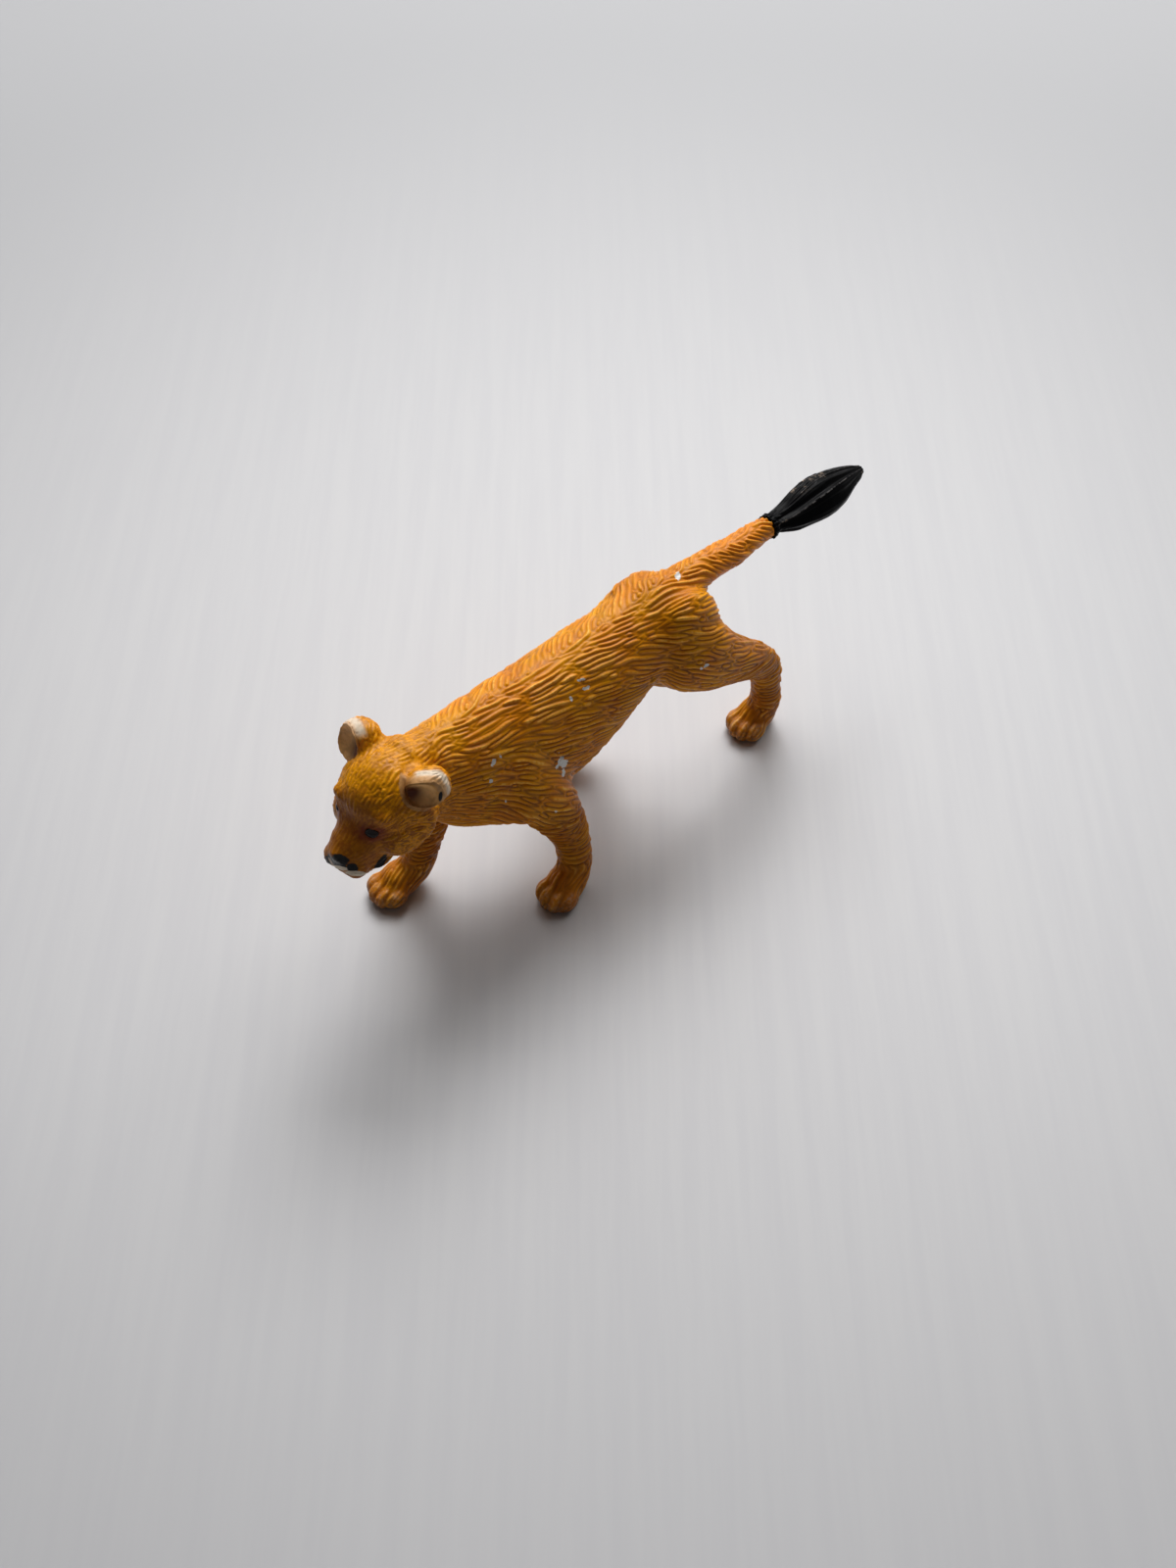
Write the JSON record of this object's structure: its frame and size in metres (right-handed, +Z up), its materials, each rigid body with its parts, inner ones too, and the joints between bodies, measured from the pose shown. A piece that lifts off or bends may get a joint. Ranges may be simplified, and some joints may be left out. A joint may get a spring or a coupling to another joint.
{
  "type": "toy animal figure",
  "caption": "Small solid plastic lion cub in a walking stance, head turned a little, straight tail with a ribbed tuft, for pretend play.",
  "frame": {"origin": "middle of the figure's outline box, on the plane the four paws stand on", "axes": "+Z up, -Y towards the nose, +Y towards the tip of the tail, +X towards the animal's left side"},
  "size_m": [0.0214, 0.0886, 0.0331],
  "materials": {
    "coat": "satin ochre-orange paint over solid white plastic, darker brown in the hollows of the fur",
    "tuft": "gloss black paint over solid plastic, worn at the tip and collar"
  },
  "bodies": {
    "root": {"torso": "coat", "head": "coat", "left_foreleg": "coat", "right_foreleg": "coat", "left_hind_leg": "coat", "right_hind_leg": "coat", "tail": "coat", "tail_tuft": "tuft"}
  },
  "joints": []
}
